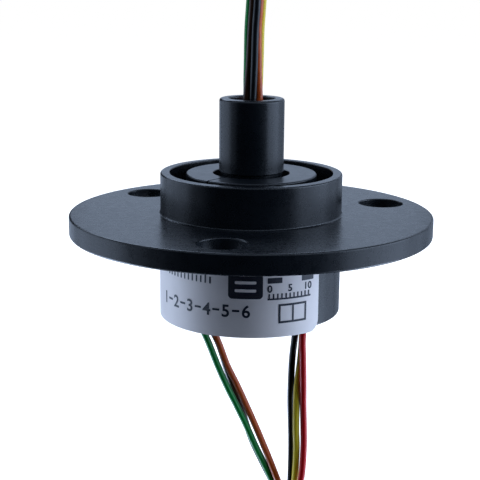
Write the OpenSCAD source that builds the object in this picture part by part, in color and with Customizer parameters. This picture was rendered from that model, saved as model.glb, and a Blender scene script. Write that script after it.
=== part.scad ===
// Capsule slip ring with a mounting flange, six circuits and flying leads.
// The axis is Z with the rotor tube upwards. Z = 0 is the flange's underside,
// which seats on the machine, and the front of the housing faces -Y.

/* [Flange] */
// Outer diameter of the flange
flange_d = 44; // [41:0.5:60]
// Thickness of the flange
flange_t = 2.4; // [1.6:0.1:4]
// Diameter of the circle that the bolt holes stand on
bolt_circle_d = 35; // [33:0.5:38]
// Diameter of each bolt hole
bolt_hole_d = 5.5; // [3:0.1:6]
// How far the first bolt hole is turned from the front, towards -X
bolt_turn = 10; // [0:1:120]

/* [Housing] */
// Outer diameter of the housing below the flange and of the collar above it
body_d = 22; // [20:0.5:27]
// Depth of the housing below the flange
body_depth = 9.7; // [8:0.1:14]
// Height of the collar above the flange
collar_h = 4.9; // [4:0.1:7]
// Wall of the housing and the collar
wall = 1.15; // [0.9:0.05:1.5]
// Wall of the hub round the upper bearing
hub_wall = 1.35; // [1:0.05:1.6]
// Thickness of the web that joins the hub to the housing
web_t = 1.2; // [0.8:0.1:1.6]

/* [Retaining cap] */
// Thickness of the cap's top
cap_t = 1.2; // [0.8:0.1:1.6]
// Wall of the cap's skirt
cap_skirt = 0.55; // [0.4:0.05:0.8]
// Width of the slit that lets the cap spring over the hub
cap_slit = 0.25; // [0.1:0.05:0.6]

/* [Rotor] */
// Outer diameter of the rotor tube
tube_d = 7.8; // [6.6:0.1:9.4]
// Diameter of the lead passage in the rotor tube
tube_bore_d = 5.4; // [4.8:0.1:5.8]
// Height of the rotor tube above the collar
tube_h = 8.9; // [6:0.1:14]
// Width of each contact ring
ring_w = 0.75; // [0.6:0.05:0.9]
// Width of each insulating washer between the rings
washer_w = 0.4; // [0.3:0.05:0.5]
// Radial thickness of each contact ring
ring_t = 0.8; // [0.6:0.05:1]

/* [Bearings] */
// Width of both bearings
bearing_w = 2.5; // [2:0.1:3]
// Radial thickness of the upper bearing, from its bore to its outside
upper_section = 1.8; // [1.5:0.1:2.2]
// Radial thickness of the lower bearing, from its bore to its outside
lower_section = 1.5; // [1.2:0.1:1.8]
// Diameter of the lower journal
journal_d = 5; // [4:0.1:6]

/* [End cap] */
// Thickness of the end cap's rim
end_plate_t = 1.6; // [1.2:0.1:2]
// Thickness of the end cap's floor under the lower bearing
end_floor_t = 0.5; // [0.4:0.1:0.8]
// Diameter of each hole that the housing's leads leave by
exit_hole_d = 2.6; // [2.6:0.05:2.8]
// Distance from a brush board to the middle of the exit hole beside it
exit_inset = 1.04; // [1:0.01:1.1]

/* [Brushes] */
// Diameter of the brush wire
brush_d = 0.3; // [0.2:0.05:0.35]
// How far each brush board reaches past its brushes on both sides
board_margin = 0.32; // [0.25:0.01:0.6]
// Thickness of each brush board
board_t = 0.8; // [0.6:0.1:1]

/* [Label] */
// Thickness of the label
label_t = 0.12; // [0.05:0.01:0.2]
// Angle from the front to the label's right-hand edge
label_right = 46; // [20:1:120]
// Angle that the label covers round the housing
label_sweep = 210; // [90:1:300]
// How far the label's lower edge stands below the housing
label_overhang = 0.5; // [0:0.1:0.8]

/* [Leads] */
// Diameter of each lead
lead_d = 0.85; // [0.7:0.01:0.9]
// Turns of lead that lie side by side in a hank's limb
hank_layers = 4; // [3:1:5]
// Width of the ties
tie_w = 2.2; // [1.5:0.1:3]

/* [Hidden] */
$fn = 96;

RING_COUNT = 6;
LEAD_NAMES = ["black", "brown", "red", "orange", "yellow", "green"];
LEAD_COLOURS = [[0.05, 0.05, 0.06], [0.28, 0.12, 0.06], [0.8, 0.08, 0.08],
                [0.75, 0.28, 0.08], [0.8, 0.72, 0.12], [0.1, 0.5, 0.2]];

// Small clearances and edge breaks
running_gap = 0.03;      // brush to ring, ball to race
lock_gap = 0.05;         // between the ring stack and the web
board_gap = 0.15;        // brush board to the housing's wall
rib_h = 1.1;             // ribs that stand a brush board on the end cap
race_relief = 0.15;      // keeps the static parts off the turning inner race
cap_sink = 0.1;          // the cap's top lies this far below the collar's rim
cap_relief = 0.25;       // keeps the cap off the turning inner race
cap_grip = 1.4;          // depth of the cap's skirt
flange_break = 0.15;
collar_break = 0.2;
hole_break = 0.15;
tube_round = 0.3;
tube_neck = 0.2;         // depth of the groove at the tube's root, inside the cap
neck_rise = 0.2;         // the groove ends this far above the cap
root_relief = 0.4;       // groove that lets the flange seat flat round the housing
root_relief_h = 0.2;
label_gap = 0.35;        // between the label's upper edge and the flange

// Heights along the axis, from the top down
collar_top = flange_t + collar_h;
cap_top = collar_top - cap_sink;
hub_top = cap_top - cap_t;
upper_seat = hub_top - bearing_w;
tube_top = collar_top + tube_h;
body_bottom = -body_depth;
lower_seat = body_bottom + end_floor_t;
lower_top = lower_seat + bearing_w;
retainer_t = 0.35;
stack_bottom = lower_top + retainer_t;
stack_h = RING_COUNT * ring_w + (RING_COUNT + 1) * washer_w;
stack_top = stack_bottom + stack_h;
web_bottom = stack_top + lock_gap;
web_top = web_bottom + web_t;

// Radii
body_r = body_d / 2;
flange_r = flange_d / 2;
cavity_r = body_r - wall;
tube_r = tube_d / 2;
bore_r = tube_bore_d / 2;
journal_step = 0.3;      // lets the upper bearing slide over the tube
upper_bore_r = tube_r + journal_step;
upper_r = upper_bore_r + upper_section;
hub_r = upper_r + hub_wall;
cap_r = hub_r + cap_skirt;
cap_hole_r = tube_r + 0.7;
shoulder_r = upper_bore_r + 0.4;
neck_r = tube_r - tube_neck;
neck_top = cap_top + neck_rise;
ledge_r = upper_r - 0.8;
ring_r = tube_r + ring_t;
washer_r = ring_r + 0.3;
groove_r = brush_d / 2 + 0.05;
lower_bore_r = journal_d / 2;
lower_r = lower_bore_r + lower_section;
boss_wall = 0.9;

// Bearing proportions, as shares of the radial thickness
ball_share = 0.31;
race_share = 0.34;
UPPER_BALLS = 12;
LOWER_BALLS = 10;

// Brushes touch the grooves of the rings from both sides
brush_y = ring_r - (groove_r - brush_d / 2 - running_gap);
brush_tip = 1.5;
board_w = 2 * (brush_y + board_margin);
board_back = sqrt(pow(cavity_r, 2) - pow(board_w / 2, 2)) - board_gap;
board_face = board_back - board_t;
exit_r = board_face - exit_inset;
board_low = body_bottom + end_plate_t;
board_high = web_bottom - 0.4;
function ring_z(i) = stack_top - washer_w - ring_w / 2 - i * (ring_w + washer_w);

// Leads inside the rotor stand on a circle and leave their rings one below another
lead_circle_r = 1.7;
lead_bearings = [-90, -150, 90, -30, 30, 150];
tail_r = 0.3;

// Where each lead crosses the end cap, and the side that it leaves on
exit_offsets = [[-0.6, -0.35], [0.05, 0.6], [0.4, -0.35],
                [0.55, -0.4], [0, 0.6], [-0.5, -0.4]];
lead_sides = [1, -1, 1, -1, 1, -1];
lead_starts = [-1.8, 1.7, 0.1, -1.8, 1.7, 0.1];

// Place of each rotor lead in the bundle, across and behind, in four states:
// in the bore, at the tube's mouth, above it, and fanned out in front of the hank.
in_bore = [for (a = lead_bearings) lead_circle_r * [cos(a), sin(a)]];
at_mouth = [[0.02, -0.8], [-0.76, -0.35], [0, 1.13], [0.78, -0.3], [0.74, 0.64], [-0.76, 0.6]];
above = [[0.13, -0.95], [-0.4, -0.22], [0, 1.3], [0.45, 0.06], [0.8, 0.92], [-0.77, 0.63]];
fanned = [[0, -2.25], [-0.45, -0.45], [0, 2.25], [0.45, -1.35], [0.45, 0.45], [-0.45, 1.35]];
ribbon = [[0, -2.25], [0, -0.45], [0, 2.25], [0, -1.35], [0, 0.45], [0, 1.35]];
BUNDLE_STATES = [in_bore, at_mouth, above, fanned, ribbon];

// Middle of the rotor's bundle of leads: x, y, z, turn from straight up, state
rotor_route = [
    [0, 0, 8, 0, 0], [0.05, 0, 12, 0, 0.5], [0.1, 0, 16.2, 0, 1], [0.12, 0, 18.4, 0, 1.4],
    [0.15, 0, 20.6, 0, 1.7], [0.2, 0, 24.4, 0, 2], [0.4, 0, 28, 0, 2], [0.6, 1.8, 34.8, 30, 2],
    [0.7, 6.8, 39.7, 60, 2], [0.7, 13.5, 41.5, 90, 2], [0.6, 20.2, 39.7, 120, 2],
    [0.5, 25.2, 34.8, 150, 2], [0.4, 27, 28, 180, 2], [0.3, 27, 21, 180, 2],
    [0.2, 27, 15, 180, 3], [0.3, 27, 10, 180, 4], [1.3, 27, 6.8, 180, 4],
    [3, 27, 4, 180, 4], [4.6, 27, 1.2, 180, 4], [5.2, 27, -2.4, 180, 4]
];

// Each stator lead, from under the end cap down to its hank
stator_routes = [
    [[5.8, -0.2, -11.6], [5.6, 0.1, -14.1], [5.4, 0.4, -16.5],
     [5.3, 0.55, -19.8], [5.3, 0.6, -22.4], [5.4, 0.6, -25.1], [5.5, 0.5, -28],
     [5.5, 0.2, -31.5], [5.4, -0.15, -35], [5.25, -0.4, -39], [5.2, -0.45, -43.4]],
    [[-5.6, 0.6, -11.6], [-4, 0.6, -14.5], [-3, 0.6, -17.6],
     [-2.1, 0.6, -20.3], [-1.1, 0.6, -22.9], [-0.3, 0.7, -25.6], [0.6, 1, -28.3],
     [2.1, 1.7, -31.8], [3.8, 2.25, -35.6], [4.9, 2.3, -39.4], [5.2, 2.25, -43.4]],
    [[6.7, -0.4, -11.6], [6.6, -0.5, -14.1], [6.7, -0.5, -16.5],
     [6.8, -0.5, -19.8], [6.85, -0.5, -22.4], [6.95, -0.6, -25.1], [7, -0.8, -28],
     [6.8, -1.4, -31.5], [6.2, -1.9, -35], [5.5, -2.2, -39], [5.2, -2.25, -43.4]],
    [[-5.1, -0.45, -11.6], [-3.9, -0.5, -14.2], [-2.8, -0.5, -17.2],
     [-1.55, -0.5, -19.8], [-0.35, -0.5, -22.5], [0.8, -0.4, -25.2], [1.9, -0.1, -28],
     [3.2, 0.4, -31.5], [4.4, 0.5, -35], [5.1, 0.5, -39], [5.2, 0.45, -43.4]],
    [[6.6, 0.6, -11.6], [6.55, 0.5, -14.4], [6.4, 0.35, -16.8],
     [6.05, 0, -20.2], [6, -0.4, -22.9], [6, -0.55, -25.6], [6.1, -0.6, -28.2],
     [6, -0.8, -31.6], [5.7, -1.05, -35], [5.4, -1.3, -39], [5.2, -1.35, -43.4]],
    [[-6.3, -0.45, -11.6], [-5.15, -0.5, -14.2], [-4, -0.5, -17.2],
     [-2.85, -0.5, -19.9], [-1.6, -0.5, -22.5], [-0.35, -0.4, -25.2], [0.8, -0.1, -28],
     [2.3, 0.7, -31.5], [3.9, 1.3, -35.4], [5, 1.4, -39.2], [5.2, 1.35, -43.4]]
];

// Hanks: the leads are folded into an oval of turns, pinched by a tie in the middle
limb_r = 5.2;            // from a hank's middle to its outermost turn
hank_pinch = 1.65;
hank_depth = 6 * 0.9;
rotor_hank_at = [0, 27, -10];
rotor_hank_half = 5.6;   // half of the straight stretch of its limbs
stator_hank_at = [0, 0, -54];
stator_hank_half = 8.6;
tie_t = 0.5;
tie_gap = 0.02;
LEAD_SIDES = 8;

// ---- Shared shapes ----

module ring_of(inner_r, outer_r, low, high) {
    rotate_extrude() translate([inner_r, low]) square([outer_r - inner_r, high - low]);
}

module tilted_pin(radius, from_r, to_r, bearing, height) {
    rotate([0, 0, bearing]) translate([from_r, 0, height]) rotate([0, 90, 0])
        cylinder(r = radius, h = to_r - from_r);
}

// Inner or outer race of a bearing with its ball groove
module race(inner_r, outer_r, low, pitch_r, ball_r) {
    rotate_extrude() difference() {
        translate([inner_r, low]) square([outer_r - inner_r, bearing_w]);
        translate([pitch_r, low + bearing_w / 2]) circle(r = ball_r + running_gap);
    }
}

module balls(count, pitch_r, height, ball_r) {
    for (i = [0:count - 1])
        rotate([0, 0, 360 * i / count]) translate([pitch_r, 0, height]) sphere(r = ball_r);
}

module cage(count, pitch_r, height, ball_r, section) {
    difference() {
        ring_of(pitch_r - 0.11 * section, pitch_r + 0.11 * section,
                height - ball_r * 1.2, height + ball_r * 1.2);
        balls(count, pitch_r, height, ball_r + running_gap);
    }
}

module rounded_rectangle(wide, tall, corner_r) {
    square([wide - 2 * corner_r, tall], center = true);
    square([wide, tall - 2 * corner_r], center = true);
    for (x = [-1, 1], y = [-1, 1])
        translate([x * (wide / 2 - corner_r), y * (tall / 2 - corner_r)]) circle(r = corner_r);
}

// ---- Leads ----

function blend_of(list, at) =
    let (i = min(floor(at), len(list) - 2)) list[i] + (at - i) * (list[i + 1] - list[i]);

// A point on the Catmull-Rom curve between points i and i + 1
function curve_point(p, i, t) =
    let (n = len(p) - 1, a = p[max(i - 1, 0)], b = p[i], c = p[min(i + 1, n)], d = p[min(i + 2, n)])
    0.5 * (2 * b + t * (c - a) + t * t * (2 * a - 5 * b + 4 * c - d)
           + t * t * t * (3 * b - a - 3 * c + d));

function smooth(p) = [for (i = [0:len(p) - 2], t = [0, 0.5]) curve_point(p, i, t), p[len(p) - 1]];

function unit(v) = v / norm(v);

// A round tube along a line; side_way is never parallel to the line
module lead_tube(p, side_way) {
    n = len(p);
    rings = [for (i = [0:n - 1])
        let (along = unit(p[min(i + 1, n - 1)] - p[max(i - 1, 0)]),
             u = unit(cross(along, side_way)), v = cross(along, u))
        for (k = [0:LEAD_SIDES - 1])
            p[i] + lead_d / 2 * (cos(360 * k / LEAD_SIDES) * u + sin(360 * k / LEAD_SIDES) * v)];
    sides = [for (i = [0:n - 2], k = [0:LEAD_SIDES - 1])
        let (a = i * LEAD_SIDES + k, b = i * LEAD_SIDES + (k + 1) % LEAD_SIDES)
        [b, a, a + LEAD_SIDES, b + LEAD_SIDES]];
    ends = [[for (k = [0:LEAD_SIDES - 1]) k],
            [for (k = [LEAD_SIDES - 1:-1:0]) (n - 1) * LEAD_SIDES + k]];
    polyhedron(points = rings, faces = concat(sides, ends), convexity = 8);
}

// Lead number i of the rotor: from its ring, up the bore and over to the hank
function rotor_lead_points(i) = concat(
    [[in_bore[i][0], in_bore[i][1], ring_z(i) + tail_r]],
    [for (row = rotor_route)
        let (place = blend_of([for (state = BUNDLE_STATES) state[i]], row[4]))
        [row[0] + place[0], row[1] + place[1] * cos(row[3]), row[2] - place[1] * sin(row[3])]]);

function stator_lead_points(i) =
    let (side = lead_sides[i], way = exit_offsets[i], start_y = lead_starts[i])
    concat([[side * (board_face - lead_d / 2), start_y, board_low + 2.6],
            [side * (board_face - lead_d / 2 - 0.1), start_y * 0.85, board_low + 1.4],
            [side * exit_r + way[0], way[1], body_bottom + end_plate_t],
            [side * exit_r + way[0], way[1], body_bottom - 0.1]],
           stator_routes[i]);

module rotor_lead(i) {
    color(LEAD_COLOURS[i]) lead_tube(smooth(rotor_lead_points(i)), [1, 0, 0]);
}

module stator_lead(i) {
    color(LEAD_COLOURS[i]) lead_tube(smooth(stator_lead_points(i)), [0, 1, 0]);
}

// Half-width of a hank at a distance from its middle, pinched where the tie is
function hank_x(z, half) = limb_r + lead_d / 2 - hank_pinch * pow(cos(90 * z / half), 2);

module hank_outline(half) {
    steps = 12;
    right = [for (i = [-steps:steps]) [hank_x(half * i / steps, half), half * i / steps]];
    left = [for (i = [steps:-1:-steps]) [-hank_x(half * i / steps, half), half * i / steps]];
    polygon(concat(right, left));
    for (side = [-1, 1]) translate([0, side * half]) circle(r = limb_r + lead_d / 2);
}

module hank(at, half) {
    translate(at) rotate([90, 0, 0]) translate([0, 0, -hank_depth / 2])
        linear_extrude(hank_depth) hank_outline(half);
}

module tie(at, half) {
    wide = 2 * (hank_x(tie_w / 2, half) + tie_gap);
    deep = hank_depth + 2 * tie_gap;
    translate([at[0], at[1], at[2] - tie_w / 2]) linear_extrude(tie_w) difference() {
        rounded_rectangle(wide + 2 * tie_t, deep + 2 * tie_t, tie_t);
        square([wide, deep], center = true);
    }
}

module rotor_lead_hank() {
    color("dimgray") hank(rotor_hank_at, rotor_hank_half);
}

module stator_lead_hank() {
    color("dimgray") hank(stator_hank_at, stator_hank_half);
}

module rotor_hank_tie() {
    color("black") tie(rotor_hank_at, rotor_hank_half);
}

module stator_hank_tie() {
    color("black") tie(stator_hank_at, stator_hank_half);
}

// ---- Stator ----

module bolt_hole() {
    translate([0, -bolt_circle_d / 2, 0]) {
        translate([0, 0, -1]) cylinder(d = bolt_hole_d, h = flange_t + 2);
        translate([0, 0, flange_t - hole_break])
            cylinder(d1 = bolt_hole_d, d2 = bolt_hole_d + 4 * hole_break, h = 2 * hole_break);
        translate([0, 0, -hole_break])
            cylinder(d1 = bolt_hole_d + 4 * hole_break, d2 = bolt_hole_d, h = 2 * hole_break);
    }
}

// One moulding: flange, housing, collar, and the hub that carries the upper bearing
module stator_housing() {
    color([0.1, 0.11, 0.13]) difference() {
        rotate_extrude() polygon([
            [ledge_r, web_bottom], [ledge_r, upper_seat], [upper_r, upper_seat],
            [upper_r, hub_top], [hub_r, hub_top], [hub_r, web_top], [cavity_r, web_top],
            [cavity_r, collar_top], [body_r - collar_break, collar_top],
            [body_r, collar_top - collar_break], [body_r, flange_t],
            [flange_r - flange_break, flange_t], [flange_r, flange_t - flange_break],
            [flange_r, flange_break], [flange_r - flange_break, 0], [body_r + root_relief, 0],
            [body_r + root_relief, root_relief_h], [body_r, root_relief_h],
            [body_r, body_bottom], [cavity_r, body_bottom], [cavity_r, web_bottom]
        ]);
        for (turn = [0, 120, 240]) rotate([0, 0, turn - bolt_turn]) bolt_hole();
    }
}

module label() {
    color([0.86, 0.88, 0.93]) rotate([0, 0, label_right - 90 - label_sweep])
        rotate_extrude(angle = label_sweep)
            translate([body_r, body_bottom - label_overhang])
                square([label_t, body_depth + label_overhang - label_gap]);
}

// Split cap that springs over the hub and holds the upper bearing down
module retaining_cap() {
    color([0.13, 0.14, 0.16]) difference() {
        rotate_extrude() polygon([
            [cap_hole_r, hub_top + cap_relief], [cap_hole_r, cap_top],
            [cap_r - collar_break, cap_top], [cap_r, cap_top - collar_break],
            [cap_r, hub_top - cap_grip], [hub_r, hub_top - cap_grip], [hub_r, hub_top],
            [upper_r - 0.4, hub_top], [upper_r - 0.4, hub_top + cap_relief]
        ]);
        rotate([0, 0, -130]) translate([0, -cap_slit / 2, hub_top - cap_grip - 1])
            cube([cap_r + 1, cap_slit, cap_t + cap_grip + 2]);
    }
}

// Ribs each side of a brush board's lower edge, clear of the lead exit
module board_ribs() {
    for (side = [-1, 1], y = [-1, 1]) {
        translate([side * (board_back + 0.35), y * 2.6, board_low - 0.1])
            linear_extrude(rib_h + 0.1) square([0.7, 1.6], center = true);
        translate([side * (board_face - 0.3), y * 3.1, board_low - 0.1])
            linear_extrude(rib_h + 0.1) square([0.6, 1.6], center = true);
    }
}

module end_cap() {
    color([0.12, 0.12, 0.13]) {
        difference() {
            union() {
                translate([0, 0, body_bottom]) cylinder(r = cavity_r, h = end_plate_t);
                translate([0, 0, body_bottom])
                    cylinder(r = lower_r + boss_wall, h = lower_top - body_bottom);
                board_ribs();
            }
            translate([0, 0, lower_seat]) cylinder(r = lower_r, h = bearing_w + 1);
            translate([0, 0, lower_seat - race_relief])
                cylinder(r = lower_bore_r + 0.6 * lower_section, h = 1);
            for (side = [-1, 1]) translate([side * exit_r, 0, body_bottom - 1])
                cylinder(d = exit_hole_d, h = end_plate_t + 2);
        }
    }
}

// Sealant that fills each exit hole round its three leads
module exit_sealant() {
    color([0.05, 0.05, 0.06]) difference() {
        for (side = [-1, 1]) translate([side * exit_r, 0, body_bottom + 0.2])
            cylinder(d = exit_hole_d, h = end_plate_t - 0.4);
        for (i = [0:RING_COUNT - 1])
            translate([lead_sides[i] * exit_r + exit_offsets[i][0], exit_offsets[i][1], body_bottom - 1])
                cylinder(d = lead_d + 0.08, h = end_plate_t + 2);
    }
}

// ---- Bearings ----

upper_pitch = upper_bore_r + upper_section / 2;
upper_ball_r = ball_share * upper_section;
upper_mid = upper_seat + bearing_w / 2;
lower_pitch = lower_bore_r + lower_section / 2;
lower_ball_r = ball_share * lower_section;
lower_mid = lower_seat + bearing_w / 2;

module upper_outer_race() {
    color("silver") race(upper_r - race_share * upper_section, upper_r, upper_seat,
                         upper_pitch, upper_ball_r);
}

module upper_inner_race() {
    color("silver") race(upper_bore_r, upper_bore_r + race_share * upper_section, upper_seat,
                         upper_pitch, upper_ball_r);
}

module upper_balls() {
    color("lightgray") balls(UPPER_BALLS, upper_pitch, upper_mid, upper_ball_r);
}

module upper_cage() {
    color("goldenrod") cage(UPPER_BALLS, upper_pitch, upper_mid, upper_ball_r, upper_section);
}

module lower_outer_race() {
    color("silver") race(lower_r - race_share * lower_section, lower_r, lower_seat,
                         lower_pitch, lower_ball_r);
}

module lower_inner_race() {
    color("silver") race(lower_bore_r, lower_bore_r + race_share * lower_section, lower_seat,
                         lower_pitch, lower_ball_r);
}

module lower_balls() {
    color("lightgray") balls(LOWER_BALLS, lower_pitch, lower_mid, lower_ball_r);
}

module lower_cage() {
    color("goldenrod") cage(LOWER_BALLS, lower_pitch, lower_mid, lower_ball_r, lower_section);
}

// ---- Brushes ----

// Rings with even numbers are served from the left, odd ones from the right
module brush_wires(side) {
    for (i = [0:RING_COUNT - 1]) if (lead_sides[i] == side)
        for (y = [-brush_y, brush_y])
            tilted_wire(side, y, ring_z(i));
}

module tilted_wire(side, y, z) {
    start = -brush_tip;
    translate([side * start, y, z]) rotate([0, side * 90, 0])
        cylinder(d = brush_d, h = board_back + 0.2 - start);
}

module brush_board(side) {
    difference() {
        translate([side > 0 ? board_face : -board_back, -board_w / 2, board_low])
            cube([board_t, board_w, board_high - board_low]);
        brush_wires(side);
    }
}

module left_brush_board() {
    color([0.05, 0.3, 0.15]) brush_board(-1);
}

module right_brush_board() {
    color([0.05, 0.3, 0.15]) brush_board(1);
}

module left_brushes() {
    color("gold") brush_wires(-1);
}

module right_brushes() {
    color("gold") brush_wires(1);
}

// ---- Rotor ----

module rotor_shaft() {
    color([0.11, 0.12, 0.14]) difference() {
        rotate_extrude() polygon([
            [0, lower_seat + 0.1], [lower_bore_r, lower_seat + 0.1], [lower_bore_r, stack_bottom],
            [tube_r, stack_bottom], [tube_r, stack_top], [shoulder_r, stack_top],
            [shoulder_r, upper_seat], [upper_bore_r, upper_seat], [upper_bore_r, hub_top],
            [neck_r, hub_top], [neck_r, neck_top], [tube_r, neck_top],
            [tube_r, tube_top - tube_round], [tube_r - tube_round, tube_top],
            [bore_r, tube_top], [bore_r, stack_bottom + washer_w], [0, stack_bottom + washer_w]
        ]);
        for (i = [0:RING_COUNT - 1])
            tilted_pin(tail_r, bore_r - 1, tube_r + 1, lead_bearings[i], ring_z(i));
    }
}

module contact_ring(i) {
    color("gold") rotate_extrude() difference() {
        translate([tube_r, ring_z(i) - ring_w / 2]) square([ring_t, ring_w]);
        translate([ring_r, ring_z(i)]) circle(r = groove_r);
    }
}

module ring_insulators() {
    color([0.7, 0.68, 0.6]) for (i = [0:RING_COUNT])
        translate([0, 0, stack_bottom + i * (ring_w + washer_w)])
            ring_of(tube_r, washer_r, 0, washer_w);
}

// Stepped washer that holds the ring stack up on the lower bearing's inner race
module stack_retainer() {
    color("silver") rotate_extrude() polygon([
        [lower_bore_r, lower_top], [lower_bore_r + race_share * lower_section, lower_top],
        [lower_bore_r + race_share * lower_section, lower_top + race_relief],
        [shoulder_r, lower_top + race_relief], [shoulder_r, stack_bottom],
        [lower_bore_r, stack_bottom]
    ]);
}

// Stripped conductor of each lead, through the shaft's wall to its ring
module solder_tails() {
    color([0.8, 0.5, 0.3]) for (i = [0:RING_COUNT - 1])
        tilted_pin(tail_r, lead_circle_r - lead_d / 2, tube_r - 0.02, lead_bearings[i], ring_z(i));
}

stator_housing();
label();
retaining_cap();
end_cap();
exit_sealant();
upper_outer_race();
upper_inner_race();
upper_balls();
upper_cage();
lower_outer_race();
lower_inner_race();
lower_balls();
lower_cage();
left_brush_board();
right_brush_board();
left_brushes();
right_brushes();
rotor_shaft();
contact_ring(0);  // contact_ring_1
contact_ring(1);  // contact_ring_2
contact_ring(2);  // contact_ring_3
contact_ring(3);  // contact_ring_4
contact_ring(4);  // contact_ring_5
contact_ring(5);  // contact_ring_6
ring_insulators();
stack_retainer();
solder_tails();
rotor_lead(0);  // rotor_lead_black
rotor_lead(1);  // rotor_lead_brown
rotor_lead(2);  // rotor_lead_red
rotor_lead(3);  // rotor_lead_orange
rotor_lead(4);  // rotor_lead_yellow
rotor_lead(5);  // rotor_lead_green
rotor_lead_hank();
rotor_hank_tie();
stator_lead(0);  // stator_lead_black
stator_lead(1);  // stator_lead_brown
stator_lead(2);  // stator_lead_red
stator_lead(3);  // stator_lead_orange
stator_lead(4);  // stator_lead_yellow
stator_lead(5);  // stator_lead_green
stator_lead_hank();
stator_hank_tie();
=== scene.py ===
import math

import bmesh
import bpy
import numpy as np
from mathutils import Matrix, Vector


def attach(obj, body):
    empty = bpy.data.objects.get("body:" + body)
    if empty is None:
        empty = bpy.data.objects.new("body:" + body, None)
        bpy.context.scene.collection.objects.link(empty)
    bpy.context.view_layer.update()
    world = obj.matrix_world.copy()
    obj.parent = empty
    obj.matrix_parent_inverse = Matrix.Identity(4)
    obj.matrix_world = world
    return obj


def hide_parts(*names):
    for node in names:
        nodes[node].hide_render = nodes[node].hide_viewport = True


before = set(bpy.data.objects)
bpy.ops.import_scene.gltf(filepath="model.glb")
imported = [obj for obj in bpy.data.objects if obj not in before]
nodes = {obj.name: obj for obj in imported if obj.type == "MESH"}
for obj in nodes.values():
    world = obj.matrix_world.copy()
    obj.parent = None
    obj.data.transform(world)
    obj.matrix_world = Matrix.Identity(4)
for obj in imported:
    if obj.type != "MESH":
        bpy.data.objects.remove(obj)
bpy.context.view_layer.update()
mm = 0.001
print("frame loaded:", len(nodes), "nodes")


# Camera: looks at the ring from just above its flange, a little turned and tilted.
cameraPlace = {"at": (0.0, -137.57, 30.89), "down": 13.136, "turn": -0.542, "tilt": 0.455, "lens": 86.415}


def makeCamera(place):
    camera = bpy.data.objects.new("camera", bpy.data.cameras.new("camera"))
    bpy.context.scene.collection.objects.link(camera)
    bpy.context.scene.camera = camera
    camera.data.lens = place["lens"]
    camera.data.sensor_width = 36
    camera.data.clip_start = 0.01
    camera.data.clip_end = 40
    down, turn, tilt = (math.radians(place[k]) for k in ("down", "turn", "tilt"))
    ahead = np.array([math.sin(turn) * math.cos(down), math.cos(turn) * math.cos(down), -math.sin(down)])
    right = np.array([math.cos(turn), -math.sin(turn), 0])
    up = np.cross(right, ahead)
    tiltedRight = math.cos(tilt) * right + math.sin(tilt) * up
    tiltedUp = math.cos(tilt) * up - math.sin(tilt) * right
    matrix = np.eye(4)
    matrix[:3, :3] = np.stack([tiltedRight, tiltedUp, -ahead], axis=1)
    matrix[:3, 3] = np.array(place["at"]) * mm
    camera.matrix_world = Matrix(matrix.tolist())


makeCamera(cameraPlace)


# Shared shapes. Every surface is a grid of points, rows by columns.

def gridFaces(rows, columns, wrapRows=False, wrapColumns=False):
    # Four-sided faces between neighbouring rows and columns of a grid; a wrapped side joins its last
    # row or column to its first.
    r = np.arange(rows if wrapRows else rows - 1)[:, None]
    c = np.arange(columns if wrapColumns else columns - 1)[None, :]
    nextR, nextC = (r + 1) % rows, (c + 1) % columns
    corners = [r * columns + c, r * columns + nextC, nextR * columns + nextC, nextR * columns + c]
    return np.stack(np.broadcast_arrays(*corners), axis=-1).reshape(-1, 4)


def meshPiece(name, parts, material, sharpAngle=40, merge=1e-7, uv=None):
    # One closed mesh from several grids: parts is a list of (points, faces); doubles are merged at the seams.
    allPoints, allFaces, start = [], [], 0
    for points, faces in parts:
        flat = points.reshape(-1, 3)
        allPoints.append(flat)
        numbered = faces.tolist() if isinstance(faces, np.ndarray) else faces
        allFaces += [[v + start for v in face] for face in numbered]
        start += len(flat)
    mesh = bpy.data.meshes.new(name)
    mesh.from_pydata(np.concatenate(allPoints), [], allFaces)
    if uv is not None:
        mesh.uv_layers.new(name="lay").uv.foreach_set("vector", uv.astype(np.float32).ravel())
    work = bmesh.new()
    work.from_mesh(mesh)
    bmesh.ops.remove_doubles(work, verts=work.verts, dist=merge)
    bmesh.ops.recalc_face_normals(work, faces=work.faces)
    work.to_mesh(mesh)
    work.free()
    mesh.polygons.foreach_set("use_smooth", np.ones(len(mesh.polygons), bool))
    mesh.set_sharp_from_angle(angle=math.radians(sharpAngle))
    mesh.materials.append(material)
    piece = bpy.data.objects.new(name, mesh)
    bpy.context.scene.collection.objects.link(piece)
    return piece


def roundedOutline(corners, closed=False, arcSteps=6, support=0.02):
    # Outline through corners given as (across, up, rounding): each rounded corner becomes an arc
    # that touches both of its sides, with one more point just before and just after it.
    rows = np.array([[c[0], c[1]] for c in corners], float)
    found = []
    for i, corner in enumerate(corners):
        rounding = corner[2] if len(corner) > 2 else 0
        if rounding == 0:
            found.append(rows[i][None])
            continue
        toLast = rows[i - 1] - rows[i]
        toNext = rows[(i + 1) % len(rows)] - rows[i]
        lastLength, nextLength = np.linalg.norm(toLast), np.linalg.norm(toNext)
        toLast, toNext = toLast / lastLength, toNext / nextLength
        half = math.acos(np.clip(toLast @ toNext, -1, 1)) / 2
        reach = rounding / math.tan(half)
        middle = rows[i] + (toLast + toNext) / np.linalg.norm(toLast + toNext) * rounding / math.sin(half)
        a, b = rows[i] + toLast * reach - middle, rows[i] + toNext * reach - middle
        bend = math.pi - 2 * half
        t = np.linspace(0, 1, arcSteps + 1)[:, None]
        arc = middle + (np.sin((1 - t) * bend) * a + np.sin(t * bend) * b) / math.sin(bend)
        before = [arc[0] + toLast * support] if reach + support < lastLength else []
        after = [arc[-1] + toNext * support] if reach + support < nextLength else []
        found.append(np.array([*before, *arc, *after]))
    outline = np.concatenate(found)
    return np.concatenate([outline, outline[:1]]) if closed else outline


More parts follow.
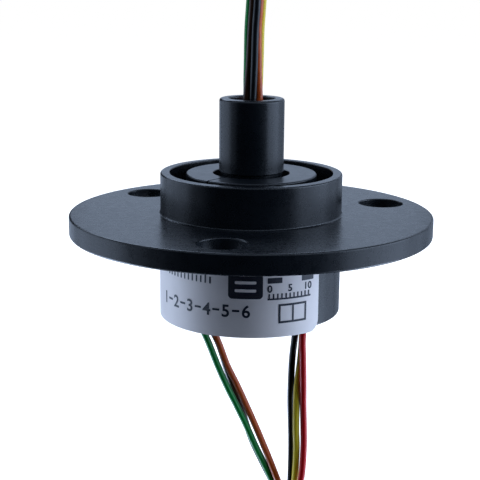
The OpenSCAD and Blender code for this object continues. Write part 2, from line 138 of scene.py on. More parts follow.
def around(radius, turn, height):
    # Cylinder coordinates to points: x = radius cos, y = radius sin.
    flat = 0 * radius * turn
    return np.stack([radius * np.cos(turn), radius * np.sin(turn), height + flat], axis=-1) * mm


def revolved(outline, columns=360):
    # Points of the outline (radius, height) turned round the axis.
    turn = np.radians(np.arange(columns) * 360 / columns)[None, :]
    points = around(outline[:, 0][:, None], turn, outline[:, 1][:, None])
    return points, gridFaces(len(outline), columns, wrapColumns=True)


def plainSector(innerR, outerR, fromDeg, toDeg, rows, height):
    # Flat piece of a ring: radius runs over the rows and the bearing over whole degrees.
    radius = np.linspace(innerR, outerR, rows + 1)[:, None]
    turn = np.radians(np.arange(fromDeg, toDeg + 1))[None, :]
    points = around(radius, turn, height)
    return points, gridFaces(*points.shape[:2])


def holedSector(innerR, outerR, middleDeg, halfDeg, rows, holeAt, hole, top, bottom):
    # A ring's sector with a hole through it, as one sheet that wraps round the hole: from the sector's
    # outline straight in to the hole's rim, down the wall, and out again below.
    arc = np.arange(-halfDeg, halfDeg)
    side = np.arange(rows) / rows
    bearing = np.concatenate([arc, 0 * side + halfDeg, -arc, 0 * side - halfDeg]) + middleDeg
    radius = np.concatenate([0 * arc + outerR, outerR + (innerR - outerR) * side,
                             0 * arc + innerR, innerR + (outerR - innerR) * side])
    outline = np.stack([radius * np.cos(np.radians(bearing)), radius * np.sin(np.radians(bearing))], axis=-1)
    centre = holeAt * np.array([math.cos(math.radians(middleDeg)), math.sin(math.radians(middleDeg))])
    out = outline - centre
    way = out / np.linalg.norm(out, axis=1, keepdims=True)
    wall = roundedOutline([(hole + 0.4, top), (hole, top, 0.18), (hole, bottom, 0.18), (hole + 0.4, bottom)])
    rim = centre + way * wall[0, 0]
    share = np.array([1, 0.8, 0.55, 0.3, 0.1])[:, None, None]
    sheet = rim + (outline - rim) * share
    above = np.concatenate([sheet, np.full(sheet.shape[:2] + (1,), top)], axis=-1)
    below = np.concatenate([sheet[::-1], np.full(sheet.shape[:2] + (1,), bottom)], axis=-1)
    middle = np.concatenate([centre + way[None] * wall[:, :1, None],
                             np.broadcast_to(wall[:, 1:, None], (len(wall), len(way), 1))], axis=-1)
    points = np.concatenate([above, middle, below]) * mm
    return points, gridFaces(*points.shape[:2], wrapColumns=True)


def sweptTube(path, radius, side, sides=14):
    # A round tube along a path: at each point a circle lies square to the path, and its first
    # direction is square to the path and to the side vector. The radius may change along the path.
    along = np.gradient(path, axis=0)
    along /= np.linalg.norm(along, axis=1, keepdims=True)
    u = np.cross(along, np.broadcast_to(side, path.shape))
    u /= np.linalg.norm(u, axis=1, keepdims=True)
    v = np.cross(along, u)
    turn = np.arange(sides) * 2 * math.pi / sides
    size = np.broadcast_to(radius, (len(path),))[:, None, None]
    circle = u[:, None] * np.cos(turn)[None, :, None] + v[:, None] * np.sin(turn)[None, :, None]
    points = path[:, None] + size * circle
    return points, gridFaces(len(path), sides, wrapColumns=True)


def evenly(path, step):
    # The same line with its points a fixed step apart along it.
    far = np.concatenate([[0], np.cumsum(np.linalg.norm(np.diff(path, axis=0), axis=1))])
    at = np.linspace(0, far[-1], int(far[-1] / step) + 1)
    return np.stack([np.interp(at, far, path[:, k]) for k in range(3)], axis=1)


curveSteps = 12


def smoothCurve(points, steps=curveSteps):
    # Catmull-Rom curve through the points: each span is a cubic with the slope of its neighbours' chord.
    p = np.concatenate([points[:1], points, points[-1:]])
    a, b, c, d = (p[k:len(p) - 3 + k][:, None] for k in range(4))
    t = (np.arange(steps) / steps)[None, :, None]
    squared, cubed = t ** 2 * (2 * a - 5 * b + 4 * c - d), t ** 3 * (3 * b - a - 3 * c + d)
    spans = 0.5 * (2 * b + t * (c - a) + squared + cubed)
    return np.concatenate([spans.reshape(-1, 3), points[-1:]])


# Materials. All patterns read Object coordinates, in metres, or a lead's own lengthwise map.

def startMaterial(name):
    material = bpy.data.materials.new(name)
    material.use_nodes = True
    return material, material.node_tree.nodes["Principled BSDF"]


def coordinates(material, output="Object", stretch=(1, 1, 1)):
    tree = material.node_tree
    source = tree.nodes.new("ShaderNodeTexCoord")
    mapping = tree.nodes.new("ShaderNodeMapping")
    mapping.inputs["Scale"].default_value = stretch
    tree.links.new(source.outputs[output], mapping.inputs["Vector"])
    return mapping.outputs["Vector"]


def noise(material, where, scale, detail=3, roughness=0.5):
    node = material.node_tree.nodes.new("ShaderNodeTexNoise")
    node.inputs["Scale"].default_value = scale
    node.inputs["Detail"].default_value = detail
    node.inputs["Roughness"].default_value = roughness
    material.node_tree.links.new(where, node.inputs["Vector"])
    return node.outputs["Fac"]


def ramp(material, factor, stops):
    node = material.node_tree.nodes.new("ShaderNodeValToRGB")
    while len(node.color_ramp.elements) < len(stops):
        node.color_ramp.elements.new(0.5)
    for element, (position, colour) in zip(node.color_ramp.elements, stops):
        element.position = position
        element.color = (*colour, 1) if hasattr(colour, "__len__") else (colour, colour, colour, 1)
    material.node_tree.links.new(factor, node.inputs["Fac"])
    return node.outputs["Color"]


def driven(material, shader, socket, pattern, stops):
    material.node_tree.links.new(ramp(material, pattern, stops), shader.inputs[socket])


def bumped(material, shader, height, distance, strength=1.0, below=None):
    node = material.node_tree.nodes.new("ShaderNodeBump")
    node.inputs["Distance"].default_value = distance
    node.inputs["Strength"].default_value = strength
    material.node_tree.links.new(height, node.inputs["Height"])
    if below is not None:
        material.node_tree.links.new(below, node.inputs["Normal"])
    material.node_tree.links.new(node.outputs["Normal"], shader.inputs["Normal"])
    return node.outputs["Normal"]


def mouldedPlastic(name, dark, light, rough, grain=7000):
    # Satin moulded plastic: cloudy colour, uneven gloss, and a fine spark-eroded grain.
    material, shader = startMaterial(name)
    where = coordinates(material)
    cloud = noise(material, where, 260, 4, 0.6)
    driven(material, shader, "Base Color", cloud, [(0.3, dark), (0.7, light)])
    gloss = noise(material, where, 900, 5, 0.65)
    driven(material, shader, "Roughness", gloss, [(0.25, rough - 0.05), (0.75, rough + 0.05)])
    wide = bumped(material, shader, noise(material, where, 420, 2), 6e-6)
    bumped(material, shader, noise(material, where, grain, 3, 0.6), 4e-6, 1.0, wide)
    return material


def labelFoil():
    # Satin polyester label, faintly warm under the blue light, with a soft unevenness of its glue.
    material, shader = startMaterial("label_foil")
    where = coordinates(material)
    driven(material, shader, "Base Color", noise(material, where, 300, 4, 0.6),
           [(0.3, (0.82, 0.75, 0.725)), (0.7, (0.87, 0.80, 0.775))])
    driven(material, shader, "Roughness", noise(material, where, 2600, 4), [(0.3, 0.42), (0.7, 0.52)])
    wide = bumped(material, shader, noise(material, where, 330, 2), 1.2e-5)
    bumped(material, shader, noise(material, where, 9000, 2), 1.5e-6, 1.0, wide)
    return material


def inkMaterial(name, colour):
    # Printed ink, slightly broken where it lies on the foil.
    material, shader = startMaterial(name)
    where = coordinates(material)
    worn = tuple(c * 0.75 + 0.02 for c in colour)
    driven(material, shader, "Base Color", noise(material, where, 5200, 4, 0.7),
           [(0.35, colour), (0.75, worn)])
    shader.inputs["Roughness"].default_value = 0.5
    bumped(material, shader, noise(material, where, 9000, 2), 2e-6)
    return material


def insulation(name, colour, shade):
    # Extruded lead insulation: streaks run along the lead, with a soft gloss and a fine ripple.
    material, shader = startMaterial(name)
    where = coordinates(material, "UV", (500, 9, 1))
    driven(material, shader, "Base Color", noise(material, where, 1.0, 4, 0.6), [(0.3, shade), (0.7, colour)])
    driven(material, shader, "Roughness", noise(material, where, 3.0, 3), [(0.3, 0.27), (0.7, 0.38)])
    shader.inputs["Specular IOR Level"].default_value = 0.45
    bumped(material, shader, noise(material, where, 2.2, 3), 7e-6)
    return material


def metal(name, dark, light, rough, scale=2400, stretch=(1, 1, 1)):
    # Bare metal: machining or drawing marks in its colour, gloss and surface.
    material, shader = startMaterial(name)
    shader.inputs["Metallic"].default_value = 1.0
    marks = noise(material, coordinates(material, "Object", stretch), scale, 5, 0.6)
    driven(material, shader, "Base Color", marks, [(0.3, dark), (0.7, light)])
    driven(material, shader, "Roughness", marks, [(0.2, rough - 0.06), (0.8, rough + 0.1)])
    bumped(material, shader, marks, 2e-6)
    return material


def boardLaminate():
    # Green solder mask over a glass weave.
    material, shader = startMaterial("board_green")
    where = coordinates(material)
    weave = material.node_tree.nodes.new("ShaderNodeTexWave")
    weave.inputs["Scale"].default_value = 900
    weave.inputs["Distortion"].default_value = 1.5
    material.node_tree.links.new(where, weave.inputs["Vector"])
    driven(material, shader, "Base Color", weave.outputs["Fac"],
           [(0.2, (0.008, 0.10, 0.035)), (0.8, (0.014, 0.15, 0.055))])
    shader.inputs["Roughness"].default_value = 0.3
    bumped(material, shader, weave.outputs["Fac"], 6e-6)
    return material


leadColours = {
    "black": ((0.006, 0.008, 0.009), (0.003, 0.004, 0.005)),
    "brown": ((0.045, 0.017, 0.006), (0.028, 0.010, 0.004)),
    "red": ((0.62, 0.006, 0.010), (0.48, 0.003, 0.006)),
    "orange": ((0.62, 0.105, 0.016), (0.48, 0.070, 0.010)),
    "yellow": ((0.80, 0.62, 0.025), (0.66, 0.49, 0.015)),
    "green": ((0.006, 0.30, 0.050), (0.004, 0.21, 0.034)),
}
leadNames = list(leadColours)
housingPlastic = mouldedPlastic("housing_plastic", (0.0040, 0.0058, 0.0080), (0.0060, 0.0082, 0.0110), 0.28)
capPlastic = mouldedPlastic("cap_plastic", (0.0046, 0.0064, 0.0088), (0.0066, 0.0090, 0.0122), 0.31)
rotorPlastic = mouldedPlastic("rotor_plastic", (0.0038, 0.0055, 0.0076), (0.0056, 0.0078, 0.0105), 0.28, 6000)
endCapPlastic = mouldedPlastic("end_cap_plastic", (0.0050, 0.0062, 0.0080), (0.0075, 0.0090, 0.0115), 0.4)
insulatorPlastic = mouldedPlastic("insulator_plastic", (0.50, 0.47, 0.36), (0.60, 0.57, 0.46), 0.45)
sealantResin = mouldedPlastic("sealant", (0.005, 0.005, 0.006), (0.009, 0.009, 0.011), 0.2, 2500)
tiePlastic = mouldedPlastic("tie_plastic", (0.007, 0.008, 0.009), (0.013, 0.014, 0.016), 0.42, 5000)
foil = labelFoil()
leadMaterials = {name: insulation("lead_" + name, *leadColours[name]) for name in leadNames}
carriedMaterials = {
    "bearing_steel": metal("bearing_steel", (0.52, 0.53, 0.55), (0.66, 0.67, 0.69), 0.22, 900, (1, 1, 9)),
    "ball_steel": metal("ball_steel", (0.62, 0.63, 0.65), (0.72, 0.73, 0.75), 0.12),
    "cage_brass": metal("cage_brass", (0.58, 0.40, 0.13), (0.72, 0.52, 0.20), 0.28),
    "contact_gold": metal("contact_gold", (0.80, 0.56, 0.20), (0.92, 0.68, 0.28), 0.2, 1500, (1, 1, 6)),
    "retainer_steel": metal("retainer_steel", (0.48, 0.49, 0.51), (0.62, 0.63, 0.65), 0.3),
    "conductor_copper": metal("conductor_copper", (0.62, 0.30, 0.15), (0.80, 0.42, 0.24), 0.3),
    "board_green": boardLaminate(),
    "insulator_plastic": insulatorPlastic,
    "end_cap_plastic": endCapPlastic,
    "rotor_plastic": rotorPlastic,
}
tinnedCopper = metal("tinned_copper", (0.55, 0.55, 0.56), (0.72, 0.72, 0.73), 0.3, 4000)
print("materials made:", len(bpy.data.materials))


# Leads: the same points as the part's own leads, then the turns of their hanks.
leadShape = {"diameter": 0.85, "sides": 14, "step": 0.3, "ringPitch": 1.15, "firstRing": 0.175, "tail": 0.3}
hankShape = {"limb": 5.2, "pitch": 0.88, "pinch": 1.65, "turns": 4, "lastLimb": 0.86, "samples": 40}
rotorHank = {"middle": (27, -10), "half": 5.6}
statorHank = {"middle": (0, -54), "half": 8.6}

boreBearings = np.radians([-90, -150, 90, -30, 30, 150])
bundleStates = np.array([
    np.stack([1.7 * np.cos(boreBearings), 1.7 * np.sin(boreBearings)], axis=1),
    [[0.02, -0.8], [-0.76, -0.35], [0, 1.13], [0.78, -0.3], [0.74, 0.64], [-0.76, 0.6]],
    [[0.13, -0.95], [-0.4, -0.22], [0, 1.3], [0.45, 0.06], [0.8, 0.92], [-0.77, 0.63]],
    [[0, -2.25], [-0.45, -0.45], [0, 2.25], [0.45, -1.35], [0.45, 0.45], [-0.45, 1.35]],
    [[0, -2.25], [0, -0.45], [0, 2.25], [0, -1.35], [0, 0.45], [0, 1.35]],
])
rotorRoute = np.array([
    [0, 0, 8, 0, 0], [0.05, 0, 12, 0, 0.5], [0.1, 0, 16.2, 0, 1], [0.12, 0, 18.4, 0, 1.4],
    [0.15, 0, 20.6, 0, 1.7], [0.2, 0, 24.4, 0, 2], [0.4, 0, 28, 0, 2], [0.6, 1.8, 34.8, 30, 2],
    [0.7, 6.8, 39.7, 60, 2], [0.7, 13.5, 41.5, 90, 2], [0.6, 20.2, 39.7, 120, 2],
    [0.5, 25.2, 34.8, 150, 2], [0.4, 27, 28, 180, 2], [0.3, 27, 21, 180, 2],
    [0.2, 27, 15, 180, 3], [0.3, 27, 10, 180, 4], [1.3, 27, 6.8, 180, 4],
    [3, 27, 4, 180, 4], [4.6, 27, 1.2, 180, 4], [5.2, 27, -2.4, 180, 4],
])
exits = {"radius": 6.497, "boardFace": 7.537, "boardLow": -8.1, "plate": 1.6, "bottom": -9.7}
leadSides = [1, -1, 1, -1, 1, -1]
leadStarts = [-1.8, 1.7, 0.1, -1.8, 1.7, 0.1]
exitOffsets = [[-0.6, -0.35], [0.05, 0.6], [0.4, -0.35], [0.55, -0.4], [0, 0.6], [-0.5, -0.4]]
statorRoutes = [
    [[5.8, -0.2, -11.6], [5.6, 0.1, -14.1], [5.4, 0.4, -16.5],
     [5.3, 0.55, -19.8], [5.3, 0.6, -22.4], [5.4, 0.6, -25.1], [5.5, 0.5, -28],
     [5.5, 0.2, -31.5], [5.4, -0.15, -35], [5.25, -0.4, -39], [5.2, -0.45, -43.4]],
    [[-5.6, 0.6, -11.6], [-4, 0.6, -14.5], [-3, 0.6, -17.6],
     [-2.1, 0.6, -20.3], [-1.1, 0.6, -22.9], [-0.3, 0.7, -25.6], [0.6, 1, -28.3],
     [2.1, 1.7, -31.8], [3.8, 2.25, -35.6], [4.9, 2.3, -39.4], [5.2, 2.25, -43.4]],
    [[6.7, -0.4, -11.6], [6.6, -0.5, -14.1], [6.7, -0.5, -16.5],
     [6.8, -0.5, -19.8], [6.85, -0.5, -22.4], [6.95, -0.6, -25.1], [7, -0.8, -28],
     [6.8, -1.4, -31.5], [6.2, -1.9, -35], [5.5, -2.2, -39], [5.2, -2.25, -43.4]],
    [[-5.1, -0.45, -11.6], [-3.9, -0.5, -14.2], [-2.8, -0.5, -17.2],
     [-1.55, -0.5, -19.8], [-0.35, -0.5, -22.5], [0.8, -0.4, -25.2], [1.9, -0.1, -28],
     [3.2, 0.4, -31.5], [4.4, 0.5, -35], [5.1, 0.5, -39], [5.2, 0.45, -43.4]],
    [[6.6, 0.6, -11.6], [6.55, 0.5, -14.4], [6.4, 0.35, -16.8],
     [6.05, 0, -20.2], [6, -0.4, -22.9], [6, -0.55, -25.6], [6.1, -0.6, -28.2],
     [6, -0.8, -31.6], [5.7, -1.05, -35], [5.4, -1.3, -39], [5.2, -1.35, -43.4]],
    [[-6.3, -0.45, -11.6], [-5.15, -0.5, -14.2], [-4, -0.5, -17.2],
     [-2.85, -0.5, -19.9], [-1.6, -0.5, -22.5], [-0.35, -0.4, -25.2], [0.8, -0.1, -28],
     [2.3, 0.7, -31.5], [3.9, 1.3, -35.4], [5, 1.4, -39.2], [5.2, 1.35, -43.4]],
]


def rotorLeadPoints(i):
    # From its ring up the bore, then round the bundle's middle line at its own place in the bundle.
    state = rotorRoute[:, 4]
    first = np.minimum(state.astype(int), len(bundleStates) - 2)
    share = (state - first)[:, None]
    place = bundleStates[first, i] * (1 - share) + bundleStates[first + 1, i] * share
    lean = np.radians(rotorRoute[:, 3])
    route = np.stack([rotorRoute[:, 0] + place[:, 0], rotorRoute[:, 1] + place[:, 1] * np.cos(lean),
                      rotorRoute[:, 2] - place[:, 1] * np.sin(lean)], axis=1)
    start = [*bundleStates[0, i], leadShape["firstRing"] - i * leadShape["ringPitch"] + leadShape["tail"]]
    return np.concatenate([[start], route])


def statorLeadPoints(i):
    # From its brush board, through its exit hole, and down its own route.
    side, (offX, offY) = leadSides[i], exitOffsets[i]
    inside = side * (exits["boardFace"] - leadShape["diameter"] / 2)
    holeX = side * exits["radius"] + offX
    return np.array([[inside, leadStarts[i], exits["boardLow"] + 2.6],
                     [inside - side * 0.1, leadStarts[i] * 0.85, exits["boardLow"] + 1.4],
                     [holeX, offY, exits["bottom"] + exits["plate"]],
                     [holeX, offY, exits["bottom"] - 0.1],
                     *statorRoutes[i]])


def hankLine(hank, depth):
    # A flat oval spiral: down the right limb, round below, up the left limb, round above, and one
    # pitch further in each turn. The limbs are drawn in by a squared cosine where the tie holds them.
    s, middleZ, half = hankShape, hank["middle"][1], hank["half"]
    down = np.linspace(half, -half, s["samples"])
    drawn = s["pinch"] * np.cos(np.pi / 2 * down / half) ** 2
    swing = np.linspace(0, np.pi, s["samples"])[1:-1]
    line = []
    for turn in range(s["turns"]):
        right, left = s["limb"] - turn * s["pitch"], s["limb"] - (turn + 0.5) * s["pitch"]
        nextRight = right - s["pitch"]
        line.append(np.stack([right - drawn, down], axis=1))
        line.append(np.stack([(right - left) / 2 + (right + left) / 2 * np.cos(swing),
                              -half - (right + left) / 2 * np.sin(swing)], axis=1))
        line.append(np.stack([-left + drawn, -down], axis=1))
        if turn == s["turns"] - 1:
            line[-1] = line[-1][:int(len(down) * s["lastLimb"])]
        else:
            line.append(np.stack([(nextRight - left) / 2 - (nextRight + left) / 2 * np.cos(swing),
                                  half + (nextRight + left) / 2 * np.sin(swing)], axis=1))
    flat = np.concatenate(line)
    return np.stack([flat[:, 0], 0 * flat[:, 0] + depth, flat[:, 1] + middleZ], axis=1)


def leadPath(points, hank):
    turns = hankLine(hank, points[-1, 1])
    free = smoothCurve(np.concatenate([points, turns[:2]]))
    return evenly(np.concatenate([free[:-curveSteps - 1], turns]), leadShape["step"]) * mm


def leadPiece(name, colour, path, side):
    # The tube's ends are closed by a last few circles that shrink to a point.
    radius = np.full(len(path) + 4, leadShape["diameter"] / 2 * mm)
    radius[[0, -1]] = 0
    radius[[1, -2]] *= 0.9
    ends = np.concatenate([path[:1], path[:1], path, path[-1:], path[-1:]])
    along = (path[-1] - path[-2]) / np.linalg.norm(path[-1] - path[-2])
    back = (path[0] - path[1]) / np.linalg.norm(path[0] - path[1])
    ends[0], ends[1] = path[0] + back * 0.02 * mm, path[0] + back * 0.015 * mm
    ends[-2], ends[-1] = path[-1] + along * 0.015 * mm, path[-1] + along * 0.02 * mm
    wide = side if side.ndim == 1 else np.concatenate([side[:1], side[:1], side, side[-1:], side[-1:]])
    points, faces = sweptTube(ends, radius, wide, leadShape["sides"])
    rows, columns = len(ends), leadShape["sides"]
    far = np.arange(rows) * leadShape["step"] * mm
    r, c = np.meshgrid(np.arange(rows - 1), np.arange(columns), indexing="ij")
    corners = [(far[r + down], (c + over) / columns) for down, over in ((0, 0), (0, 1), (1, 1), (1, 0))]
    uv = np.stack([np.stack(corner, -1) for corner in corners], axis=2)
    return meshPiece(name, [(points, faces)], leadMaterials[colour], 60, 1e-8, uv)


tipShape = {"length": 3.0, "strand": 0.16, "lay": 2.6, "sides": 6}


def tipPiece(name, path):
    # Seven tinned strands: six wind round a straight one, by a helix about the lead's last direction.
    start, along = path[-1], (path[-1] - path[-4]) / np.linalg.norm(path[-1] - path[-4])
    side = np.array([0.0, 1.0, 0.0])
    u = np.cross(along, side)
    far = np.linspace(-0.15, tipShape["length"], 22)[:, None] * mm
    parts = []
    for strand in range(7):
        turn = strand * math.pi / 3 + far / (tipShape["lay"] * mm) * 2 * math.pi
        away = 0 if strand == 6 else tipShape["strand"] * mm
        line = start + far * along + away * (u * np.cos(turn) + side * np.sin(turn))
        thick = np.full(len(line), tipShape["strand"] / 2 * mm)
        thick[[0, -1]] = 0
        parts.append(sweptTube(line, thick, side + 0.3 * u, tipShape["sides"]))
    return meshPiece(name, parts, tinnedCopper, 60, 1e-8)


def makeLeads():
    for i, colour in enumerate(leadNames):
        for kind, hank, points in (("rotor", rotorHank, rotorLeadPoints(i)),
                                   ("stator", statorHank, statorLeadPoints(i))):
            path = leadPath(points, hank)
            if kind == "rotor":   # the side vector swings from X on the arch to Y in the hank
                share = np.clip((16 - path[:, 2] / mm) / 12, 0, 1)[:, None] * (path[:, 1:2] > 20 * mm)
                side = (1 - share) * np.array([1.0, 0, 0]) + share * np.array([0, 1.0, 0])
            else:
                side = np.array([0, 1.0, 0])
            piece = leadPiece(kind + "_flying_lead_" + colour, colour, path, side)
            tip = tipPiece(kind + "_lead_tip_" + colour, path)
            for made in (piece, tip):
                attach(made, kind)
            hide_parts(kind + "_lead_" + colour, kind + "_lead_hank")
            length = float(np.linalg.norm(np.diff(path, axis=0), axis=1).sum())
            print(kind, colour, "lead", round(length, 4), "m")


makeLeads()
print("leads made")


# Housing: one moulding turned round the axis, with three holes through its flange.
housing = {
    "flangeR": 22, "flangeTop": 2.4, "bodyR": 11, "wallR": 9.85, "collarTop": 7.3, "bottom": -9.7,
    "hubR": 7.35, "seatR": 6.0, "ledgeR": 5.2, "webTop": 2.2, "webLow": 1.0, "hubTop": 6.0, "seat": 3.5,
    "rootR": 12, "edgeR": 21.6, "holeCircle": 17.5, "holeR": 2.75, "holeBearings": (-100, 20, 140),
}


def makeHousing(h):
    inner = roundedOutline([
        (h["rootR"], h["flangeTop"]), (h["bodyR"], h["flangeTop"], 0.16), (h["bodyR"], h["collarTop"], 0.22),
        (h["wallR"], h["collarTop"], 0.14), (h["wallR"], h["webTop"], 0.3), (h["hubR"], h["webTop"], 0.3),
        (h["hubR"], h["hubTop"], 0.1), (h["seatR"], h["hubTop"], 0.1), (h["seatR"], h["seat"]),
        (h["ledgeR"], h["seat"], 0.1), (h["ledgeR"], h["webLow"], 0.1), (h["wallR"], h["webLow"], 0.3),
        (h["wallR"], h["bottom"], 0.1), (h["bodyR"], h["bottom"], 0.2), (h["bodyR"], 0.2, 0.05),
        (h["bodyR"] + 0.4, 0.2, 0.05), (h["bodyR"] + 0.4, 0, 0.05), (h["rootR"], 0)])
    edge = roundedOutline([(h["edgeR"], h["flangeTop"]), (h["flangeR"], h["flangeTop"], 0.24),
                           (h["flangeR"], 0, 0.24), (h["edgeR"], 0)], arcSteps=8)
    parts = [revolved(inner), revolved(edge)]
    for bearing in h["holeBearings"]:
        parts.append(holedSector(h["rootR"], h["edgeR"], bearing, 30, 12, h["holeCircle"], h["holeR"],
                                 h["flangeTop"], 0))
        for height in (h["flangeTop"], 0):
            parts.append(plainSector(h["rootR"], h["edgeR"], bearing + 30, bearing + 90, 12, height))
    piece = meshPiece("housing_shell", parts, housingPlastic)
    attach(piece, "stator")
    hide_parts("stator_housing")


makeHousing(housing)
print("housing made")


# Retaining cap: a split ring, whose slit has straight parallel sides.
cap = {"holeR": 4.6, "outerR": 7.9, "top": 7.2, "low": 4.6, "hubR": 7.35, "hubTop": 6.0, "reliefR": 5.6,
       "relief": 0.25, "slit": 0.25, "slitBearing": -130}


def makeCap(c):
    outline = roundedOutline([
        (c["holeR"], c["hubTop"] + c["relief"]), (c["holeR"], c["top"], 0.12), (c["outerR"], c["top"], 0.22),
        (c["outerR"], c["low"], 0.1), (c["hubR"], c["low"], 0.1), (c["hubR"], c["hubTop"], 0.05),
        (c["reliefR"], c["hubTop"], 0.05), (c["reliefR"], c["hubTop"] + c["relief"], 0.05)], closed=True)
    radius, height = outline[:-1, 0][:, None], outline[:-1, 1][:, None]
    gap = np.arcsin(c["slit"] / 2 / radius)   # half of the slit's angle at each radius
    share = np.linspace(0, 1, 361)[None, :]
    turn = math.radians(c["slitBearing"]) + gap + share * (2 * math.pi - 2 * gap)
    points = around(radius, turn, height)
    rows, columns = turn.shape
    faces = gridFaces(rows, columns, wrapRows=True)
    ends = [list(range(0, rows * columns, columns)), list(range(columns - 1, rows * columns, columns))]
    piece = meshPiece("split_retaining_cap", [(points, faces.tolist() + ends)], capPlastic)
    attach(piece, "stator")
    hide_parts("retaining_cap")


makeCap(cap)


# Rotor tube and its shaft, one turned shape with the lead passage up its middle.
rotor = {"tubeR": 3.9, "boreR": 2.7, "top": 16.2, "neckR": 3.7, "neckTop": 7.4, "journalR": 4.2,
         "hubTop": 6.0, "seat": 3.5, "shoulderR": 4.6, "stackTop": 0.95, "stackLow": -6.35, "footR": 2.5,
         "foot": -9.1, "floor": -5.95}


def makeRotor(r):
    outline = roundedOutline([
        (0, r["foot"]), (r["footR"], r["foot"], 0.15), (r["footR"], r["stackLow"]),
        (r["tubeR"], r["stackLow"], 0.1),
        (r["tubeR"], r["stackTop"]), (r["shoulderR"], r["stackTop"], 0.1), (r["shoulderR"], r["seat"], 0.1),
        (r["journalR"], r["seat"]), (r["journalR"], r["hubTop"], 0.12), (r["neckR"], r["hubTop"], 0.08),
        (r["neckR"], r["neckTop"], 0.08), (r["tubeR"], r["neckTop"], 0.1), (r["tubeR"], r["top"], 0.32),
        (r["boreR"], r["top"], 0.2), (r["boreR"], r["floor"], 0.3), (0, r["floor"])])
    piece = meshPiece("rotor_tube", [revolved(outline, 240)], rotorPlastic)
    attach(piece, "rotor")
    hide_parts("rotor_shaft")


makeRotor(rotor)
print("cap and rotor made")


# Label: a thin sheet wrapped round the housing, with rounded corners and printed marks on it.
label = {"radius": 11.0, "thick": 0.12, "low": -10.2, "high": -0.35, "fromDeg": -254, "toDeg": -44,
         "corner": 1.4}


def onBody(across, up, out):
    # Wraps a flat sheet round the housing: across is measured along the curve from the front, rightwards.
    turn = -math.pi / 2 + across / label["radius"]
    return around(label["radius"] + out, turn, up)


def wrappedSheet(left, right, low, high, corner, inner, outer, columns=200, rows=12):
    # Each column runs between the lower and upper edge, which draw in by a quarter circle at the corners.
    share = (1 - np.cos(np.linspace(0, math.pi, columns))) / 2
    across = left + (right - left) * share
    near = np.clip(corner - np.minimum(across - left, right - across), 0, corner)
    draw = corner - np.sqrt(np.maximum(corner ** 2 - near ** 2, 0))
    draw = np.minimum(draw, (high - low) / 2 - 1e-3)
    v = np.linspace(0, 1, rows)[:, None]
    up = (low + draw)[None, :] * (1 - v) + (high - draw)[None, :] * v
    wide = np.broadcast_to(across[None, :], up.shape)
    face = onBody(wide, up, outer)
    back = onBody(wide, up, inner)
    rim = [np.arange(columns), (rows - 1) * columns + np.arange(columns),
           np.arange(rows) * columns, np.arange(rows) * columns + columns - 1]
    count = rows * columns
    sides = [np.stack([e[:-1], e[1:], e[1:] + count, e[:-1] + count], axis=1) for e in rim]
    faces = np.concatenate([gridFaces(rows, columns), gridFaces(rows, columns) + count, *sides])
    return np.concatenate([face.reshape(-1, 3), back.reshape(-1, 3)]), faces


def makeLabel(s):
    left = math.radians(s["fromDeg"] + 90) * s["radius"]
    right = math.radians(s["toDeg"] + 90) * s["radius"]
    sheet = wrappedSheet(left, right, s["low"], s["high"], s["corner"], 0.0, s["thick"])
    piece = meshPiece("wrapped_label", [sheet], foil, 30)
    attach(piece, "stator")
    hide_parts("label")


makeLabel(label)


# Marks printed on the label: circuit numbers, plain scales and a blank box, all in one dark ink.
# Figures are (across, up, size, text), and bars are (left, right, low, high).
numberPitch = 2.35
printed = {
    "numbers": [(-12.2 + numberPitch * k, -7.75, 2.05, str(k + 1)) for k in range(6)]
    + [(2.25, -4.78, 1.15, "0"), (4.7, -4.78, 1.15, "5"), (7.05, -4.78, 1.15, "10")],
    "dashes": [(-11.45 + numberPitch * k, -10.6 + numberPitch * k, -7.12, -6.88) for k in range(5)],
    "leftScale": [(-11.4 + 0.6 * k, -11.22 + 0.6 * k, -4.0, -2.3 if k % 5 == 0 else -3.2) for k in range(12)],
    "rightScale": [(2.0, 7.5, -5.72, -5.52)]
    + [(2.1 + 0.5 * k, 2.28 + 0.5 * k, -5.6, -4.98) for k in range(11)],
    "topBars": [(2.0, 3.7, -3.75, -3.1), (6.2, 7.9, -3.75, -3.1)],
    "box": [(3.3, 6.9, -8.55, -8.3), (3.3, 6.9, -6.5, -6.25), (3.3, 3.55, -8.5, -6.3),
            (6.65, 6.9, -8.5, -6.3), (4.98, 5.2, -8.5, -6.3)],
    "block": (-2.5, 1.45, -5.55, -1.6), "blockCorner": 0.45,
    "slots": [(-1.75, 0.7, -4.75, -4.4), (-1.75, 0.7, -3.8, -3.45), (-1.75, 0.7, -2.85, -2.5)],
    "slotCorner": 0.1, "slotLift": 0.018, "ink": 0.02, "sunk": 0.01, "figureLift": 0.008, "bold": 0.035,
}


def digitPart(across, up, size, text):
    # Flat figures made a mesh, then bent round the label: their depth becomes the ink's thickness.
    curve = bpy.data.curves.new("figures", "FONT")
    curve.body, curve.size, curve.align_x = text, size, "CENTER"
    curve.offset, curve.extrude, curve.resolution_u = printed["bold"], printed["ink"] / 2, 4
    holder = bpy.data.objects.new("figures", curve)
    flat = bpy.data.meshes.new_from_object(holder)
    bpy.data.objects.remove(holder)
    at = np.zeros(len(flat.vertices) * 3)
    flat.vertices.foreach_get("co", at)
    at = at.reshape(-1, 3)
    faces = [list(p.vertices) for p in flat.polygons]
    return onBody(across + at[:, 0], up + at[:, 1], label["thick"] + printed["figureLift"] + at[:, 2]), faces


def barPart(left, right, low, high, corner=0.04, lift=0.0):
    columns = max(4, int((right - left) / 0.3) + 2) + 6
    return wrappedSheet(left, right, low, high, corner, label["thick"] - printed["sunk"] + lift,
                        label["thick"] + printed["ink"] + lift, columns, 3)


